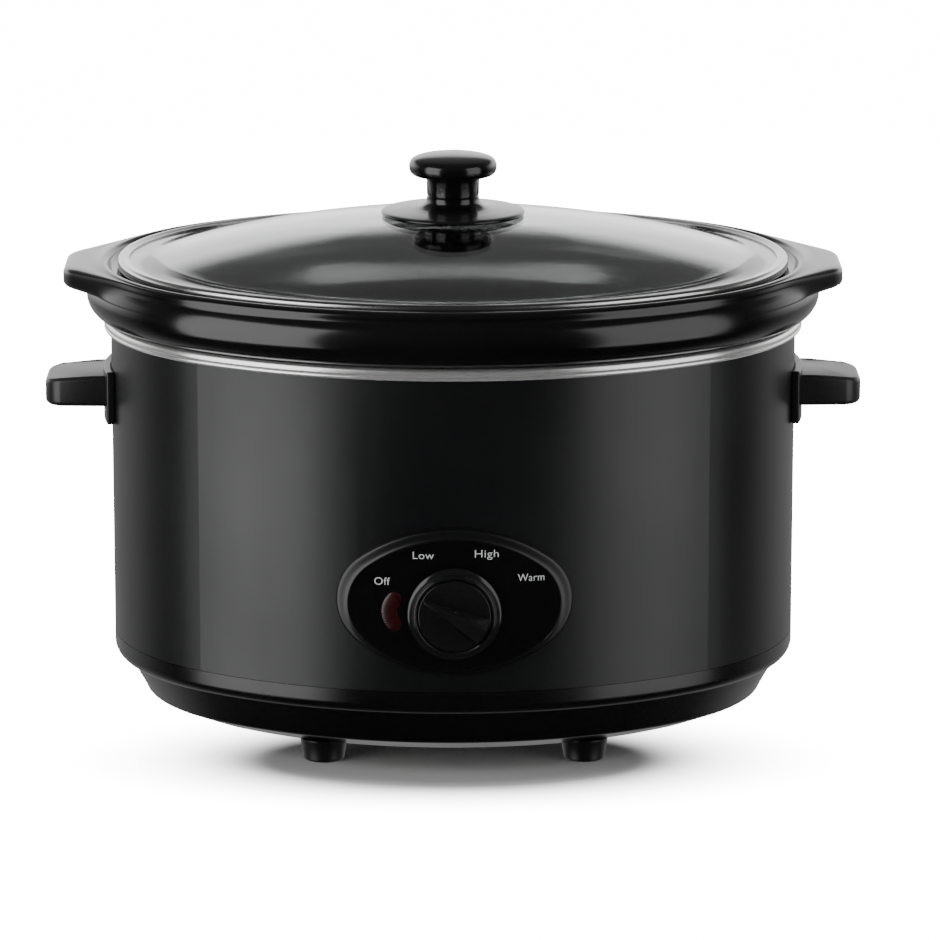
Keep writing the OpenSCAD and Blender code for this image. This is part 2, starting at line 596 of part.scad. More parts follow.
module lid_knob() color("#141415") seat() difference() {
    rotate_extrude($fn = 128) polygon(concat([[0, knob_seam_z], [stem_r, knob_seam_z], [stem_r, head_low_z - 0.6],
        [lid_knob_d / 2 - 3, head_low_z]],
        arc([lid_knob_d / 2 - 3.2, head_low_z + 3.2], 3.2, -80, 0, 5),
        arc([lid_knob_d / 2 - 4.4, top_z - 6.2], 4.4, 0, 76, 6), [[8, top_z - 0.3], [0, top_z]]));
    rod_z(0, 0, knob_screw_r, knob_seam_z - 1, knob_seam_z + 9);
}

foot_front_left();
foot_front_right();
foot_rear_left();
foot_rear_right();
foot_screws();
base_pan();
shell();
rim_trim();
heating_well();
well_stud();
stud_nut();
heater_band();
band_clamp();
thermal_fuse();
fuse_clip();
terminal_block();
block_screw();
earth_screw();
wires();
cord_gland();
handle_left();
handle_right();
handle_screws();
panel();
panel_clips();
pilot_lens();
pilot_lamp();
rotary_switch();
switch_nut();
switch_shaft();
control_knob();
crock();
lid_glass();
lid_rim();
lid_seal();
lid_knob_base();
lid_knob();
lid_knob_screw();
lid_screw_washer();
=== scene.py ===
import math

import bmesh
import bpy
from mathutils import Matrix, Vector


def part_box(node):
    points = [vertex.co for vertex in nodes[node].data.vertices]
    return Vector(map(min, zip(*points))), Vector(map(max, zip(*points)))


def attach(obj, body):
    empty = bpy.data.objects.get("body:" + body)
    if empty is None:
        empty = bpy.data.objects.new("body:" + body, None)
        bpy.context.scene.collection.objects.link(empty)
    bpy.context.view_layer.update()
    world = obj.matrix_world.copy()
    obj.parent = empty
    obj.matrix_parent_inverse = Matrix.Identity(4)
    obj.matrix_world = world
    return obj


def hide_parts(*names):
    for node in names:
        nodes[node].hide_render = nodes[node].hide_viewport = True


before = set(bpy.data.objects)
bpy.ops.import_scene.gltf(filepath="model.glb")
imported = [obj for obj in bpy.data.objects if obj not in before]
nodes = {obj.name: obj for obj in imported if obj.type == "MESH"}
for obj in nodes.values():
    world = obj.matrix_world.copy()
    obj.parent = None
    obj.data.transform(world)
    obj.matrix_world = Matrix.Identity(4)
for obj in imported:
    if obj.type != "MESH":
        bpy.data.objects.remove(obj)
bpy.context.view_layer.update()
MM = 0.001

# ------------------------------------------------------------ measures from the frame, in metres
shell_lo, shell_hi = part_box("shell")
crock_lo, crock_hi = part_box("crock")
base_lo, base_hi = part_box("base_pan")
trim_lo, trim_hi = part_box("rim_trim")
steel_lo, steel_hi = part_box("lid_rim")
glass_lo, glass_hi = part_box("lid_glass")
head_lo, head_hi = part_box("lid_knob")
flange_lo, flange_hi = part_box("lid_knob_base")
panel_lo, panel_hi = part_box("panel")
lens_lo, lens_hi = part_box("pilot_lens")
dial_lo, dial_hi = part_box("control_knob")
grip_lo, grip_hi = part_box("handle_right")

# the cooker's plan is a four-centre oval set out on a 3-4-5 triangle
MID_Y = (shell_lo[1] + shell_hi[1]) / 2
HALF_W = shell_hi[0]
HALF_D = (shell_hi[1] - shell_lo[1]) / 2
UNIT = (HALF_W - HALF_D) / 2
END_X = 3 * UNIT
SIDE_Y = 4 * UNIT
END_R = HALF_W - END_X
SIDE_R = HALF_D + SIDE_Y
JOIN = math.atan2(4, 3)

CREST_Z = crock_hi[2]
LEDGE_Z = CREST_Z - 4.1 * MM
BELLY_Z = CREST_Z - 15.6 * MM
CROCK_LOW_Z = crock_lo[2]
CAVITY_FLOOR_Z = CROCK_LOW_Z + 9 * MM
DIAL_Z = (dial_lo[2] + dial_hi[2]) / 2
PANEL_Z = (panel_lo[2] + panel_hi[2]) / 2
FIELD_Z = PANEL_Z - 2 * MM
KNOB_BACK_Y = dial_hi[1]


def arc(cx, cz, r, start, end, steps):
    """Points on an arc, in degrees."""
    turns = [math.radians(start + (end - start) * i / steps) for i in range(steps + 1)]
    return [(cx + r * math.cos(t), cz + r * math.sin(t)) for t in turns]


def metres(points):
    return [(a * MM, b * MM) for a, b in points]


# ------------------------------------------------------------ making pieces
def chain_of(bm, points, closed):
    verts = [bm.verts.new(p) for p in points]
    last = len(verts) if closed else len(verts) - 1
    edges = [bm.edges.new((verts[i], verts[(i + 1) % len(verts)])) for i in range(last)]
    return verts + edges


def mend(bm):
    """Merges doubles and turns every face outwards."""
    bmesh.ops.remove_doubles(bm, verts=bm.verts[:], dist=1e-6)
    bmesh.ops.recalc_face_normals(bm, faces=bm.faces[:])


def round_oval(section, closed=True, end_steps=44, side_steps=36):
    """Carries a section of (distance outside the shell, height) once round the cooker."""
    bm = bmesh.new()
    start = chain_of(bm, [(END_X + END_R + out, MID_Y, z) for out, z in section], closed)
    up = (0, 0, 1)
    first = bmesh.ops.spin(bm, geom=start, cent=(END_X, MID_Y, 0), axis=up, angle=JOIN, steps=end_steps)
    bmesh.ops.spin(bm, geom=first["geom_last"], cent=(0, MID_Y - SIDE_Y, 0), axis=up,
                   angle=math.pi / 2 - JOIN, steps=side_steps)
    for axis in ("X", "Y"):
        everything = bm.verts[:] + bm.edges[:] + bm.faces[:]
        bmesh.ops.mirror(bm, geom=everything, matrix=Matrix.Translation((0, -MID_Y, 0)),
                         merge_dist=1e-6, axis=axis)
    bmesh.ops.remove_doubles(bm, verts=bm.verts[:], dist=1e-6)
    if not closed:
        open_edges = [e for e in bm.edges if len(e.link_faces) == 1]
        bmesh.ops.edgeloop_fill(bm, edges=open_edges)
    mend(bm)
    return bm


def turned(section, steps=96):
    """Turns a section of (radius, height) once about the Z axis."""
    bm = bmesh.new()
    start = chain_of(bm, [(r, 0, z) for r, z in section], False)
    bmesh.ops.spin(bm, geom=start, cent=(0, 0, 0), axis=(0, 0, 1), angle=2 * math.pi, steps=steps,
                   use_merge=True)
    mend(bm)
    return bm


def shade(bm, crease=38):
    """Smooth shading with a hard edge wherever two faces meet at more than the crease angle."""
    for face in bm.faces:
        face.smooth = True
    for edge in bm.edges:
        if len(edge.link_faces) == 2 and edge.calc_face_angle(0.0) > math.radians(crease):
            edge.smooth = False


def piece(bm, name, body, replaced, finish, crease=38):
    shade(bm, crease)
    mesh = bpy.data.meshes.new(name)
    bm.to_mesh(mesh)
    bm.free()
    mesh.materials.append(finish)
    made = bpy.data.objects.new(name, mesh)
    bpy.context.scene.collection.objects.link(made)
    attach(made, body)
    if replaced:
        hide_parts(*replaced)
    return made


def joined(parts):
    """Puts several bmeshes into one."""
    whole = bmesh.new()
    for part in parts:
        mesh = bpy.data.meshes.new("part")
        part.to_mesh(mesh)
        part.free()
        whole.from_mesh(mesh)
        bpy.data.meshes.remove(mesh)
    return whole


def oval_at(half_w, half_d, turn):
    """Point of a four-centre oval of its own size where the outward normal points at this turn."""
    unit = (half_w - half_d) / 2
    c, s = math.cos(turn), math.sin(turn)
    steep = math.atan2(abs(s), abs(c))
    if steep < JOIN:
        r = half_w - 3 * unit
        x, y = 3 * unit + r * math.cos(steep), r * math.sin(steep)
    else:
        r = half_d + 4 * unit
        x, y = r * math.cos(steep), -4 * unit + r * math.sin(steep)
    return math.copysign(x, c), math.copysign(y, s)


def front_y(x, out):
    """Where the cooker's front lies at this x, a distance outside the shell."""
    return MID_Y + SIDE_Y - math.sqrt((SIDE_R + out) ** 2 - x * x)


# ------------------------------------------------------------ finishes
def new_group(name, inputs, outputs):
    group = bpy.data.node_groups.new(name, "ShaderNodeTree")
    for label, value in inputs:
        socket = group.interface.new_socket(label, in_out="INPUT", socket_type="NodeSocketFloat")
        socket.default_value = value
    for label in outputs:
        group.interface.new_socket(label, in_out="OUTPUT", socket_type="NodeSocketFloat")
    return group, group.nodes.new("NodeGroupInput"), group.nodes.new("NodeGroupOutput")


def object_noise(tree, scale, detail=3.0, stretch=(1, 1, 1)):
    """Noise on object coordinates; scale is a number or a socket."""
    at = tree.nodes.new("ShaderNodeTexCoord")
    mapping = tree.nodes.new("ShaderNodeMapping")
    mapping.inputs["Scale"].default_value = stretch
    noise = tree.nodes.new("ShaderNodeTexNoise")
    noise.inputs["Detail"].default_value = detail
    tree.links.new(at.outputs["Object"], mapping.inputs["Vector"])
    tree.links.new(mapping.outputs["Vector"], noise.inputs["Vector"])
    if isinstance(scale, (int, float)):
        noise.inputs["Scale"].default_value = scale
    else:
        tree.links.new(scale, noise.inputs["Scale"])
    return noise.outputs["Fac"]


def spread(tree, fac, low, high, from_low=0.3, from_high=0.7):
    """Maps a noise value to a range; low and high are numbers or sockets."""
    ranged = tree.nodes.new("ShaderNodeMapRange")
    ranged.inputs["From Min"].default_value = from_low
    ranged.inputs["From Max"].default_value = from_high
    tree.links.new(fac, ranged.inputs["Value"])
    for label, value in (("To Min", low), ("To Max", high)):
        if isinstance(value, (int, float)):
            ranged.inputs[label].default_value = value
        else:
            tree.links.new(value, ranged.inputs[label])
    return ranged.outputs["Result"]


def uneven_sheen_group():
    """Roughness that drifts between two values, with faint handling smears."""
    group, source, sink = new_group("uneven_sheen", (("Low", 0.3), ("High", 0.4), ("Scale", 12.0)),
                                    ("Roughness",))
    broad = spread(group, object_noise(group, source.outputs["Scale"]),
                   source.outputs["Low"], source.outputs["High"])
    smears = spread(group, object_noise(group, 38.0, 5.0, (1, 1, 0.35)), -0.015, 0.02)
    total = group.nodes.new("ShaderNodeMath")
    group.links.new(broad, total.inputs[0])
    group.links.new(smears, total.inputs[1])
    group.links.new(total.outputs[0], sink.inputs["Roughness"])
    return group


def surface_grain_group():
    """Height of a fine grain laid over a slower ripple."""
    group, source, sink = new_group("surface_grain", (("Fine scale", 2500.0), ("Ripple scale", 400.0),
                                                      ("Ripple share", 0.5)), ("Height",))
    fine = object_noise(group, source.outputs["Fine scale"], 2.0)
    ripple = object_noise(group, source.outputs["Ripple scale"], 1.0)
    mix = group.nodes.new("ShaderNodeMix")
    group.links.new(source.outputs["Ripple share"], mix.inputs["Factor"])
    group.links.new(fine, mix.inputs["A"])
    group.links.new(ripple, mix.inputs["B"])
    group.links.new(mix.outputs["Result"], sink.inputs["Height"])
    return group


def brush_marks_group():
    """Fine marks that run level round the piece, as a height and a mask."""
    group, source, sink = new_group("brush_marks", (("Scale", 60.0),), ("Height", "Mask"))
    fine = object_noise(group, source.outputs["Scale"], 4.0, (1, 1, 60))
    group.links.new(fine, sink.inputs["Height"])
    group.links.new(spread(group, fine, 0.0, 1.0, 0.35, 0.65), sink.inputs["Mask"])
    return group


UNEVEN_SHEEN = uneven_sheen_group()
SURFACE_GRAIN = surface_grain_group()
BRUSH_MARKS = brush_marks_group()


def placed(tree, group, **values):
    node = tree.nodes.new("ShaderNodeGroup")
    node.node_tree = group
    for label, value in values.items():
        node.inputs[label.replace("_", " ")].default_value = value
    return node


def finish(name, color, sheen, metallic=0.0, grain=None, marks=None, drift=0.12, coat=0.0, **constants):
    """A finish with drifting colour and sheen, and a grain or brush marks on its surface."""
    material = bpy.data.materials.new(name)
    material.use_nodes = True
    tree = material.node_tree
    shader = tree.nodes["Principled BSDF"]
    shader.inputs["Metallic"].default_value = metallic
    shader.inputs["Coat Weight"].default_value = coat
    for label, value in constants.items():
        shader.inputs[label.replace("_", " ")].default_value = value
    tone = tree.nodes.new("ShaderNodeMix")
    tone.data_type = "RGBA"
    tone.inputs["A"].default_value = (*[c * (1 - drift) for c in color], 1)
    tone.inputs["B"].default_value = (*[min(1.0, c * (1 + drift)) for c in color], 1)
    tree.links.new(spread(tree, object_noise(tree, 17.0, 4.0), 0.0, 1.0), tone.inputs["Factor"])
    tree.links.new(tone.outputs["Result"], shader.inputs["Base Color"])
    low, high, scale = sheen
    rough = placed(tree, UNEVEN_SHEEN, Low=low, High=high, Scale=scale)
    tree.links.new(rough.outputs["Roughness"], shader.inputs["Roughness"])
    height = None
    if grain:
        fine, ripple, share, depth, strength = grain
        height = placed(tree, SURFACE_GRAIN, Fine_scale=fine, Ripple_scale=ripple,
                        Ripple_share=share).outputs["Height"]
    if marks:
        scale, depth, strength = marks
        height = placed(tree, BRUSH_MARKS, Scale=scale).outputs["Height"]
    if height:
        bump = tree.nodes.new("ShaderNodeBump")
        bump.inputs["Strength"].default_value = strength
        bump.inputs["Distance"].default_value = depth * MM
        tree.links.new(height, bump.inputs["Height"])
        tree.links.new(bump.outputs["Normal"], shader.inputs["Normal"])
    return material


shell_paint = finish("satin_black_paint", (0.0042, 0.0046, 0.0054), (0.31, 0.37, 9.0),
                     grain=(1500.0, 420.0, 0.45, 0.05, 0.22))
black_glaze = finish("black_stoneware_glaze", (0.0030, 0.0030, 0.0032), (0.15, 0.19, 14.0), drift=0.3,
                     grain=(900.0, 95.0, 0.92, 0.10, 0.10))
base_plastic = finish("satin_base_moulding", (0.0032, 0.0033, 0.0035), (0.22, 0.28, 14.0),
                      grain=(1900.0, 700.0, 0.3, 0.03, 0.16))
handle_plastic = finish("handle_moulding", (0.0085, 0.0086, 0.0090), (0.32, 0.39, 20.0),
                        grain=(1500.0, 800.0, 0.3, 0.06, 0.32))
panel_gloss = finish("gloss_panel_black", (0.0032, 0.0032, 0.0034), (0.06, 0.10, 20.0), drift=0.2,
                     grain=(2400.0, 300.0, 0.8, 0.02, 0.08))
panel_edge = finish("panel_bezel_black", (0.0036, 0.0038, 0.0043), (0.30, 0.36, 20.0),
                    grain=(2000.0, 700.0, 0.4, 0.03, 0.16))
knob_plastic = finish("control_knob_black", (0.0060, 0.0062, 0.0065), (0.15, 0.20, 30.0),
                      grain=(2600.0, 900.0, 0.4, 0.02, 0.14))
lid_knob_gloss = finish("lid_knob_gloss_black", (0.0040, 0.0040, 0.0044), (0.14, 0.18, 22.0), drift=0.2,
                        grain=(2200.0, 260.0, 0.85, 0.03, 0.08))
foot_rubber = finish("moulded_foot_rubber", (0.0075, 0.0075, 0.0080), (0.30, 0.42, 60.0),
                     grain=(1800.0, 900.0, 0.4, 0.05, 0.3))
trim_steel = finish("polished_trim_steel", (0.80, 0.80, 0.79), (0.20, 0.26, 25.0), metallic=0.8, drift=0.04,
                    marks=(38.0, 0.012, 0.10))
lid_steel = finish("brushed_lid_steel", (0.62, 0.62, 0.61), (0.20, 0.27, 25.0), metallic=1.0, drift=0.05,
                   marks=(45.0, 0.015, 0.14))
well_metal = finish("pressed_well_aluminium", (0.60, 0.61, 0.62), (0.34, 0.46, 16.0), metallic=1.0,
                    marks=(30.0, 0.04, 0.25))
zinc = finish("zinc_plate", (0.56, 0.58, 0.60), (0.28, 0.42, 160.0), metallic=1.0,
              grain=(1600.0, 500.0, 0.5, 0.03, 0.25))
heater_foil = finish("heater_foil", (0.68, 0.66, 0.62), (0.30, 0.50, 90.0), metallic=1.0, drift=0.08,
                     grain=(700.0, 160.0, 0.6, 0.25, 0.5))
brass = finish("plain_brass", (0.70, 0.52, 0.24), (0.24, 0.36, 120.0), metallic=1.0,
               grain=(1800.0, 500.0, 0.5, 0.02, 0.2))
ceramic = finish("terminal_ceramic", (0.76, 0.74, 0.68), (0.42, 0.56, 80.0), drift=0.05,
                 grain=(1500.0, 400.0, 0.5, 0.05, 0.3))
sleeve = finish("wire_sleeve", (0.42, 0.075, 0.055), (0.48, 0.62, 70.0),
                grain=(2600.0, 900.0, 0.2, 0.10, 0.5))
switch_resin = finish("switch_resin", (0.62, 0.58, 0.50), (0.42, 0.56, 70.0), drift=0.06,
                      grain=(1700.0, 500.0, 0.4, 0.05, 0.3))
silicone = finish("seal_silicone", (0.040, 0.040, 0.042), (0.42, 0.55, 60.0),
                  grain=(1600.0, 500.0, 0.4, 0.03, 0.25))
lamp = finish("neon_lamp_glass", (0.90, 0.46, 0.28), (0.05, 0.10, 60.0), drift=0.1,
              grain=(900.0, 300.0, 0.8, 0.02, 0.1), Transmission_Weight=0.6)
print_white = finish("printed_marking", (0.56, 0.57, 0.58), (0.40, 0.50, 200.0), drift=0.05,
                     grain=(3000.0, 1200.0, 0.3, 0.01, 0.2))


def lens_red_finish():
    """Dark red lens with fine moulded prisms across it."""
    material = finish("pilot_lens_red", (0.024, 0.0006, 0.0014), (0.26, 0.32, 60.0), drift=0.25)
    tree = material.node_tree
    shader = tree.nodes["Principled BSDF"]
    shader.inputs["Subsurface Weight"].default_value = 0.1
    shader.inputs["Subsurface Radius"].default_value = (0.003, 0.0005, 0.0005)
    at = tree.nodes.new("ShaderNodeTexCoord")
    prisms = tree.nodes.new("ShaderNodeTexWave")
    prisms.bands_direction = "Z"
    prisms.inputs["Scale"].default_value = 260.0
    bump = tree.nodes.new("ShaderNodeBump")
    bump.inputs["Strength"].default_value = 0.5
    bump.inputs["Distance"].default_value = 0.12 * MM
    tree.links.new(at.outputs["Object"], prisms.inputs["Vector"])
    tree.links.new(prisms.outputs["Fac"], bump.inputs["Height"])
    tree.links.new(bump.outputs["Normal"], shader.inputs["Normal"])
    return material


def lid_glass_finish():
    """Toughened clear glass, with the faint ripple that pressing leaves."""
    material = bpy.data.materials.new("toughened_lid_glass")
    material.use_nodes = True
    tree = material.node_tree
    shader = tree.nodes["Principled BSDF"]
    shader.inputs["Base Color"].default_value = (0.86, 0.875, 0.875, 1)
    shader.inputs["Metallic"].default_value = 0.0
    shader.inputs["Transmission Weight"].default_value = 1.0
    shader.inputs["IOR"].default_value = 1.5
    rough = placed(tree, UNEVEN_SHEEN, Low=0.0, High=0.03, Scale=7.0)
    tree.links.new(rough.outputs["Roughness"], shader.inputs["Roughness"])
    bump = tree.nodes.new("ShaderNodeBump")
    bump.inputs["Strength"].default_value = 0.05
    bump.inputs["Distance"].default_value = 0.2 * MM
    ripple = placed(tree, SURFACE_GRAIN, Fine_scale=120.0, Ripple_scale=22.0, Ripple_share=0.9)
    tree.links.new(ripple.outputs["Height"], bump.inputs["Height"])
    tree.links.new(bump.outputs["Normal"], shader.inputs["Normal"])
    return material


lens_red = lens_red_finish()
lid_glass_clear = lid_glass_finish()


# ------------------------------------------------------------ crock
LUG_TIP_X = crock_hi[0]
LUG_BASE_Z = CREST_Z - 11.0 * MM
LUG_HEAD_Z = CREST_Z - 0.6 * MM
LUG_FULLNESS = 4.6


def collar_out(z):
    """How far the collar stands outside the shell, between its belly and its crest."""
    rise, crest = z - BELLY_Z, z - (CREST_Z - 3.3 * MM)
    face = -4.5 * MM + math.sqrt(max(0.0, (16 * MM) ** 2 - rise * rise))
    lip = 3.6 * MM + math.sqrt(max(0.0, (3.3 * MM) ** 2 - crest * crest))
    return max(face, lip)


def lug_reach(turn):
    """Distance from an end centre to the outline of the lug, by the supports of its round corner."""
    corner_x, corner_y, corner_r = LUG_TIP_X - 20.6 * MM - END_X, 15 * MM, 20.6 * MM
    reaches = []
    for i in range(40):
        lean = math.radians(39.1) * i / 39
        support = corner_x * math.cos(lean) + corner_y * math.sin(lean) + corner_r
        reaches.append(support / math.cos(abs(turn) - lean))
    return min(reaches)


def crock_section():
    low, floor = CROCK_LOW_Z / MM, CAVITY_FLOOR_Z / MM
    crest, ledge, belly = CREST_Z / MM, LEDGE_Z / MM, BELLY_Z / MM
    body = [(-58, low), (-45, low), (-43.5, low)]
    body += arc(-34.2, low + 8, 8, -80, 0, 8)
    body += [(-22.5, belly - 17.3), (-19.5, belly - 11.3)]
    body += arc(0.2, belly, 11.3, -90, -6, 14)
    points = metres(body)
    heights = [BELLY_Z + step * MM for step in (0.2, 1.0, 1.8, 2.6, 3.4, 4.1)]
    middle, half = (LUG_BASE_Z + LUG_HEAD_Z) / 2, (LUG_HEAD_Z - LUG_BASE_Z) / 2
    for i in range(41):
        c = -math.cos(math.pi * i / 40)
        heights.append(middle + half * math.copysign(abs(c) ** (2 / LUG_FULLNESS), c))
    points += [(collar_out(z), z) for z in heights]
    inside = arc(3.6, crest - 3.3, 3.3, 62, 168, 10)
    inside += [(-0.4, ledge + 0.9), (-0.8, ledge + 0.25), (-1.5, ledge)]
    inside += arc(-10.5, ledge - 2.5, 2.5, 90, 172, 6)
    inside += [(-13.3, ledge - 5), (-13.8, ledge - 8), (-15.0, ledge - 11.6), (-16.8, ledge - 15),
               (-19.2, ledge - 18.5), (-22, ledge - 22), (-24.8, ledge - 25.4), (-27, ledge - 28.5),
               (-28.6, ledge - 32), (-29.5, ledge - 36), (-30.6, 160), (-31.8, 125), (-32.9, floor + 14)]
    inside += arc(-46.9, floor + 14, 14, -10, -90, 9)
    inside += [(-50, floor), (-64, floor)]
    return points + metres(inside)


def crock():
    bm = round_oval(crock_section(), closed=False, end_steps=64, side_steps=40)
    middle, half = (LUG_BASE_Z + LUG_HEAD_Z) / 2, (LUG_HEAD_Z - LUG_BASE_Z) / 2
    for v in bm.verts:
        side = math.copysign(1, v.co.x)
        across, along = abs(v.co.x) - END_X, v.co.y - MID_Y
        radius, turn = math.hypot(across, along), math.atan2(along, across)
        t = abs(v.co.z - middle) / half
        if t >= 1 or radius < END_R + 2.5 * MM or abs(turn) > math.radians(50):
            continue
        swell = (1 - t ** LUG_FULLNESS) ** (1 / LUG_FULLNESS)
        spare = lug_reach(turn) - radius
        spare = (spare + math.sqrt(spare * spare + (1.6 * MM) ** 2)) / 2
        fade = min(1.0, max(0.0, (math.radians(50) - abs(turn)) / math.radians(16)))
        push = spare * swell * fade * fade * (3 - 2 * fade)
        limit = LUG_TIP_X - 0.02 * MM
        v.co.x = side * min(limit, abs(v.co.x) + push * across / radius)
        v.co.y += push * along / radius
    piece(bm, "glazed_crock", "crock", ["crock"], black_glaze, crease=60)


# ------------------------------------------------------------ base
FOOT_PLACES = [(sx * 63, sy * 78) for sx in (-1, 1) for sy in (-1, 1)]
VENT_PLACES = [(side * 100, 11 * row) for side in (-1, 1) for row in range(-3, 4)]


def base_floor(low):
    """Flat oval floor with its two rows of vent slots."""
    bm = bmesh.new()
    around = [oval_at(HALF_W - 34 * MM, HALF_D - 34 * MM, math.radians(a)) for a in range(0, 360, 2)]
    chain_of(bm, [(x, MID_Y + y, low) for x, y in around], True)
    for x, y in VENT_PLACES:
        ends = [(x + 12 + a, y + b) for a, b in arc(0, 0, 2, -90, 90, 8)]
        ends += [(x - 12 + a, y + b) for a, b in arc(0, 0, 2, 90, 270, 8)]
        chain_of(bm, [(a * MM, MID_Y + b * MM, low) for a, b in ends], True)
    bmesh.ops.triangle_fill(bm, use_beauty=True, edges=bm.edges[:])
    above = bmesh.ops.extrude_face_region(bm, geom=bm.faces[:])
    lifted = [v for v in above["geom"] if isinstance(v, bmesh.types.BMVert)]
    bmesh.ops.translate(bm, vec=(0, 0, 2.2 * MM), verts=lifted)
    mend(bm)
    return bm


def base_moulding():
    """Rolled band under the seam, a step in, a skirt, and a flat floor with posts."""
    low, seam = base_lo[2] / MM, shell_lo[2] / MM
    step = seam - 12
    section = [(-36, low), (-33.4, low), (-32.4, low + 0.15)] + arc(-17.8, low + 9.6, 3, -72, -22, 6)
    section += [(-14.4, low + 10), (-7.0, step - 1.2), (-6.5, step - 0.15), (-6.4, step)]
    section += arc(-5.9, step + 5.9, 5.95, -86, 0, 14) + [(0.05, seam - 0.2), (-1.1, seam - 0.2)]
    section += [(-1.1, seam + 5.4), (-2.8, seam + 5.4), (-2.8, step + 7.6), (-8.8, step + 1.2),
                (-17, low + 11.6), (-19.4, low + 9.2), (-32.4, low + 2.2), (-36, low + 2.2)]
    parts = [round_oval(metres(section), end_steps=64, side_steps=40), base_floor(base_lo[2])]
    for x, y, radius in [(0, 0, 12)] + [(x, y, 6) for x, y in FOOT_PLACES]:
        post = turned(metres([(0, low + 1.5), (radius, low + 1.5), (radius, low + 9.8), (radius - 0.4, low + 10.2),
                              (0, low + 10.2)]), steps=32)
        bmesh.ops.translate(post, verts=post.verts[:], vec=(x * MM, MID_Y + y * MM, 0))
        parts.append(post)
    piece(joined(parts), "moulded_base", "base", ["base_pan"], base_plastic, crease=34)


# ------------------------------------------------------------ trim, lid rim and glass
def rolled_trim():
    top = trim_hi[2] / MM - 5.2
    section = [(0.05, top - 0.9), (0.4, top - 0.9)] + arc(2.1, top + 0.3, 1.15, -110, 34, 10)
    section += [(2.78, top + 1.2)] + arc(0.6, top + 2.5, 2.65, -28, 80, 16)
    section += [(-1.5, top + 5.15), (-5, top + 4.8), (-5, top + 3.8), (-1.4, top + 4.1)]
    section += arc(0.45, top + 2.5, 1.8, 80, -30, 8)
    section += [(1.2, top + 1.1), (-0.9, top + 1.1), (-0.9, top + 0.1), (0.05, top + 0.1)]
    piece(round_oval(metres(section), end_steps=56, side_steps=40), "rolled_trim", "base", ["rim_trim"],
          trim_steel, crease=44)


def steel_lid_rim():
    low = steel_lo[2] / MM
    section = [(-9.3, low)] + arc(-5.5, low + 1.7, 1.7, -90, -8, 7)
    section += [(-3.72, low + 2.6)] + arc(-5.9, low + 3.3, 2.1, 2, 96, 11)
    section += [(-7.2, low + 5.15), (-8.3, low + 4.75), (-9.3, low + 4.6), (-9.3, low + 3.9),
                (-6.0, low + 3.9), (-6.0, low + 1.1), (-9.3, low + 1.1)]
    piece(round_oval(metres(section), end_steps=56, side_steps=40), "steel_lid_rim", "lid", ["lid_rim"],
          lid_steel, crease=50)


def domed_glass():
    """Dome and flat edge as one closed sheet, turned as a disc and then drawn out to the oval."""
    edge_low, top = glass_lo[2], glass_hi[2]
    half_w, half_d = HALF_W - 6.1 * MM, HALF_D - 6.1 * MM
    bend_w = half_w - 5.4 * MM
    rise = top - edge_low - 0.6 * MM
    bow = (bend_w ** 2 + rise ** 2) / (2 * rise)

    def crown(share):
        x = min(bend_w, share * half_w)
        cap = edge_low + 0.6 * MM + math.sqrt(bow * bow - x * x) - bow + rise
        gap = cap - (edge_low + 2.5 * MM)
        return edge_low + 2.5 * MM + (gap + math.sqrt(gap * gap + (0.8 * MM) ** 2)) / 2

    def underside(share):
        gap = crown(share) - 4 * MM - edge_low
        return edge_low + (gap + math.sqrt(gap * gap + (0.6 * MM) ** 2)) / 2

    shares = [i / 40 for i in range(37)] + [0.92, 0.935, 0.95, 0.965, 0.98, 0.992]
    lift = crown(0) - top
    above = [(s, crown(s) - lift) for s in shares] + [(0.998, crown(1) - lift - 0.2 * MM), (1, edge_low + 2 * MM)]
    below = [(1, edge_low + 0.5 * MM), (0.997, edge_low + 0.02 * MM)]
    below += [(s, underside(s)) for s in reversed(shares)]
    bm = turned(above + below, steps=192)
    for v in bm.verts:
        share, turn = math.hypot(v.co.x, v.co.y), math.atan2(v.co.y, v.co.x)
        x, y = oval_at(half_w, half_d, turn)
        v.co.x = share * x
        v.co.y = MID_Y + share * y
    mend(bm)
    piece(bm, "domed_glass", "lid", ["lid_glass"], lid_glass_clear, crease=60)


def lid_knob():
    """Flange with a swept foot, and a round head on its stem."""
    low, seam, top = flange_lo[2] / MM, flange_hi[2] / MM, head_hi[2] / MM
    foot = [(0, low), (12, low), (34, low - 0.9)] + arc(34.1, low + 0.05, 0.9, -80, 74, 8)
    foot += [(32, low + 1.25), (28, low + 1.7), (23.5, low + 2.15), (19, low + 2.6), (16.4, low + 3.1),
             (14.7, low + 3.8), (13.5, low + 4.8), (12.95, low + 6), (12.8, low + 7), (12.8, seam - 0.6),
             (12.1, seam), (0, seam)]
    base = turned(metres(foot))
    bmesh.ops.translate(base, verts=base.verts[:], vec=(0, MID_Y, 0))
    piece(base, "lid_knob_flange", "lid", ["lid_knob_base"], lid_knob_gloss)
    head = [(0, seam + 0.02), (12.1, seam + 0.02), (12.8, seam + 0.6), (12.9, top - 13.6), (13.6, top - 12.2),
            (15.2, top - 11.4), (17.2, top - 11.15)]
    head += arc(17.6, top - 7.4, 3.8, -85, 0, 10)
    head += arc(16.85, top - 6.6, 4.6, 8, 62, 10)
    head += [(16.6, top - 1.68), (13, top - 0.95), (9, top - 0.45), (4.5, top - 0.12), (0, top)]
    cap = turned(metres(head), steps=128)
    bmesh.ops.translate(cap, verts=cap.verts[:], vec=(0, MID_Y, 0))
    piece(cap, "lid_knob_head", "lid", ["lid_knob"], lid_knob_gloss)


